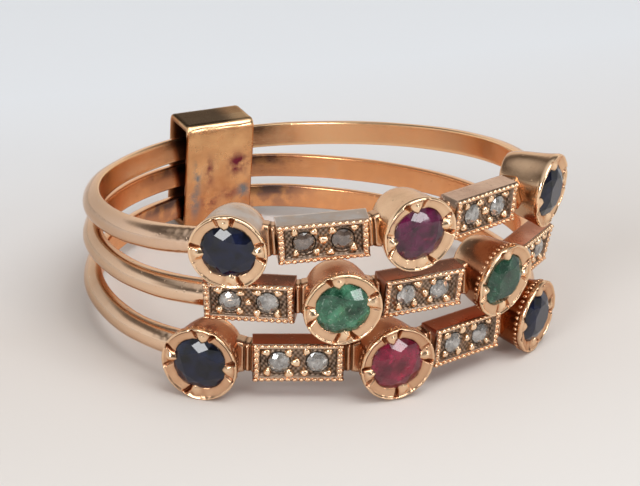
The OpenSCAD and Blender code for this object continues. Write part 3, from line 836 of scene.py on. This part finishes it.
def keeper():
    """A rounded rectangle section, carried along the outside, over the end and back through the slot:
    section = outside * (1 - t) + slot * t, where t runs from 0 to 1 over the rim and back."""
    inner, outer, cap = KEEPER_WALLS
    depth, half = inner + KEEPER_SLOT + outer, KEEPER_W / 2
    a = np.linspace(0, 2 * np.pi, 240, endpoint=False)[:, None]
    # Wear has rounded its corners a little more than the solid's
    outside_d, outside_z = rounded_loop(a, depth / 2, KEEPER_H / 2, KEEPER_EDGE + 0.12)
    slot_d, slot_z = rounded_loop(a, KEEPER_SLOT / 2, KEEPER_H / 2 - cap, 0.1)
    slot_d = slot_d + inner + KEEPER_SLOT / 2 - depth / 2
    # Along the width: (place, how far from the outside to the slot)
    rim = [(half - 0.03, 0.07), (half, 0.3), (half, 0.7), (half - 0.04, 0.93), (half - 0.1, 1.0)]
    path = [(x, 0.0) for x in np.linspace(-half + 0.1, half - 0.1, 28)] + rim
    path += [(x, 1.0) for x in np.linspace(half - 0.3, -half + 0.3, 10)] + [(-x, t) for x, t in rim[::-1]]
    x, t = np.array(path).T[:, None, :]
    d, z = outside_d * (1 - t) + slot_d * t, outside_z * (1 - t) + slot_z * t
    on_face = (t < 0.5) * (d < -depth / 2 + 0.1)
    on_top = (t < 0.5) * smooth_step(KEEPER_H / 2 - 0.08, KEEPER_H / 2 - 0.01, z)
    # The upper edge on the finger side is rubbed bright, and a touch of the pale layer adds a painted
    # highlight along it
    rubbed = (t < 0.5) * (d < 0) * smooth_step(KEEPER_H / 2 - 0.4, KEEPER_H / 2 - 0.3, z)
    marks = {
        "worn": np.clip(0.36 + 0.4 * on_face * smooth_step(0.8, -1.5, z) + 0.9 * t - 0.4 * rubbed, 0, 1),
        "painted_highlight": 0.1 * rubbed,
        "plum": on_face * stain(PLUM_STAINS, x, z),
        "slate": on_face * stain(SLATE_STAINS, x, z),
        # The top is drawn sooty, lighter toward the right, as a painted reflection, and the slot's inside
        # dark as painted shade
        "soot_and_shade": np.clip(on_top * (0.95 - 0.5 * smooth_step(0.2, 1.2, x)) + 0.8 * t, 0, 1),
    }
    # The face is dented by about 0.02 mm
    d = d + on_face * (0.012 * np.sin(2.1 * x + 1.3 * z) + 0.008 * np.sin(4.7 * x - 2.9 * z))
    # Lean, then turn with the hoop and stand on the paper
    c, s = np.cos(KEEPER_LEAN), np.sin(KEEPER_LEAN)
    stand = (KEEPER_H / 2 - KEEPER_EDGE) * c + (depth / 2 - KEEPER_EDGE) * s + KEEPER_EDGE
    d, z = d * c - z * s + depth / 2 - KEEPER_SINK - inner, d * s + z * c + stand
    wx, wy, nx, ny = hoop(KEEPER_TURN - 180)
    return np.stack([wx + x * ny + d * nx, wy - x * nx + d * ny, z + 0 * x], axis=-1), True, True, marks


surface("keeper_sleeve", [keeper()], KEEPER_GOLD, ["keeper"])

# %% [markdown]
# ## Paper
#
# The ring stands on white paper. A curved studio sweep would hide the horizon, but the camera looks
# down, so one flat sheet fills the picture. Its colour is a touch cooler toward the back, with a darker
# warm grey across the place where the ring stands as a painted shadow.


# %% Paper
def paper():
    """A flat sheet at the ring's lowest point, 0.8 m to each side."""
    # Uncoated paper is matte: it takes a soft shadow and shows no reflection
    m, t = new_material("paper_with_painted_shadow")
    depth = add(t, "SeparateXYZ", {"Vector": add(t, "TexCoord", out="Object")}, "Y")
    far = add(t, "MapRange", {"Value": depth, "From Min": -0.02, "From Max": 0.03})
    # Painted shadow: the darker middle stop lies under the ring
    stops = [(0.0, "#E4E0DC"), (0.4, "#D8D1CB"), (1.0, "#E2E5E9")]
    white = {"Base Color": add(t, "ValToRGB", {"Fac": far}, stops=stops), "Roughness": 0.75}
    add(t, "OutputMaterial", {"Surface": add(t, "BsdfPrincipled", white)})
    mesh = bpy.data.meshes.new("paper")
    s = 0.8
    mesh.from_pydata([(-s, -s, 0), (s, -s, 0), (s, s, 0), (-s, s, 0)], [], [(0, 1, 2, 3)])
    mesh.materials.append(m)
    sheet = bpy.data.objects.new("paper", mesh)
    bpy.context.scene.collection.objects.link(sheet)
    print("paper, m wide:", 2 * s)


paper()

# %% [markdown]
# ## Light
#
# Polished metal shows what is round it, so the light has to surround the ring. A picture of a studio
# could do that, but a sky that runs through a few greys by height gives the same long soft
# reflections. On the camera's side it is bright low down and overhead with a dimmer band between, and
# behind the ring it stays bright to almost half height. A wide softbox overhead is the main light. Three
# small ones stand where the stones' upper facets mirror them toward the camera as pale glints.


# %% Softboxes
def softbox(name, azimuth, elevation, distance, size, brightness):
    """Square area light aimed at the ring, from degrees and metres. Power = brightness * pi * area."""
    a, e = np.radians(azimuth), np.radians(elevation)
    place = distance * np.array([np.sin(a) * np.cos(e), -np.cos(a) * np.cos(e), np.sin(e)])
    data = bpy.data.lights.new(name, "AREA")
    data.shape, data.size = "SQUARE", size
    data.energy = brightness * np.pi * size**2
    lamp = bpy.data.objects.new(name, data)
    lamp.location = place
    lamp.rotation_euler = Vector(-place).to_track_quat("-Z", "Y").to_euler()
    bpy.context.scene.collection.objects.link(lamp)
    print(f"{name}: {data.energy:.2f} W")


# Azimuth, elevation, distance, size, brightness
softbox("overhead_softbox", 25, 64, 0.32, 0.24, 2.8)
softbox("left_softbox", -53, 27, 0.4, 0.11, 12.0)
softbox("right_softbox", 34, 13, 0.4, 0.07, 8.0)
softbox("upper_right_softbox", 17, 30, 0.4, 0.06, 8.0)

# %% Sky
# Greys by height, 0 at the horizon and 1 straight up, on the camera's side and behind the ring
NEAR = [(0.0, "#F0F0F0"), (0.12, "#D8D8D8"), (0.25, "#66625F"), (0.5, "#5A5652"), (0.7, "#DCDCDC")]
NEAR += [(1.0, "#F4F4F4")]
FAR = [(0.0, "#F4F4F4"), (0.4, "#EAE8E6"), (0.52, "#7E7A77"), (0.7, "#5E5A57"), (0.85, "#C0C0C0")]
FAR += [(1.0, "#F0F0F0")]
world = bpy.data.worlds.new("light_tent")
bpy.context.scene.world = world
world.use_nodes = True
sky = world.node_tree
sky.nodes.clear()
ray = add(sky, "TexCoord", out="Generated")
height = add(sky, "SeparateXYZ", {"Vector": ray}, "Z")
depth = add(sky, "SeparateXYZ", {"Vector": ray}, "Y")
near = add(sky, "ValToRGB", {"Fac": height}, stops=NEAR)
far = add(sky, "ValToRGB", {"Fac": height}, stops=FAR)
behind = add(sky, "MapRange", {"Value": depth, "From Min": -0.2, "From Max": 0.3})
colour = add(sky, "Mix", {0: behind, 6: near, 7: far}, 2, data_type="RGBA")
glow = add(sky, "Background", {"Color": colour, "Strength": 0.96})
add(sky, "OutputWorld", {"Surface": glow})
print("sky:", len(sky.nodes), "nodes")

# %% [markdown]
# ## Camera
#
# A long lens keeps the near and far bands close in scale. A short one nearer the ring would swell the
# front settings. It stands about 25 degrees to the left of the front and looks down by 22, as for a
# picture of a ring on a table.


# %% Camera
def camera(azimuth, elevation, roll, aim, distance, lens):
    """Camera on a sphere round its aim, from degrees, metres and a lens in mm. Its roll turns it about
    its own axis."""
    az, el, ro = np.radians([azimuth, elevation, roll])
    forward = Vector((-np.sin(az) * np.cos(el), np.cos(az) * np.cos(el), -np.sin(el)))
    right = Vector((np.cos(az), np.sin(az), 0.0))
    above = right.cross(forward)
    right, above = right * np.cos(ro) + above * np.sin(ro), above * np.cos(ro) - right * np.sin(ro)
    data = bpy.data.cameras.new("camera")
    data.sensor_width, data.lens, data.clip_start = 36.0, lens, 0.001
    eye = bpy.data.objects.new("camera", data)
    turn = Matrix((right, above, -forward)).transposed().to_4x4()
    eye.matrix_world = Matrix.Translation(aim - forward * distance) @ turn
    bpy.context.scene.collection.objects.link(eye)
    bpy.context.scene.camera = eye


camera(-24.57, 22.39, 1.79, aim=Vector((0.855, -0.03, 2.371)) * MM, distance=0.09, lens=116.15)
bpy.context.scene.view_settings.view_transform = "Standard"
print("camera stands at, m:", [round(v, 3) for v in bpy.context.scene.camera.matrix_world.translation])
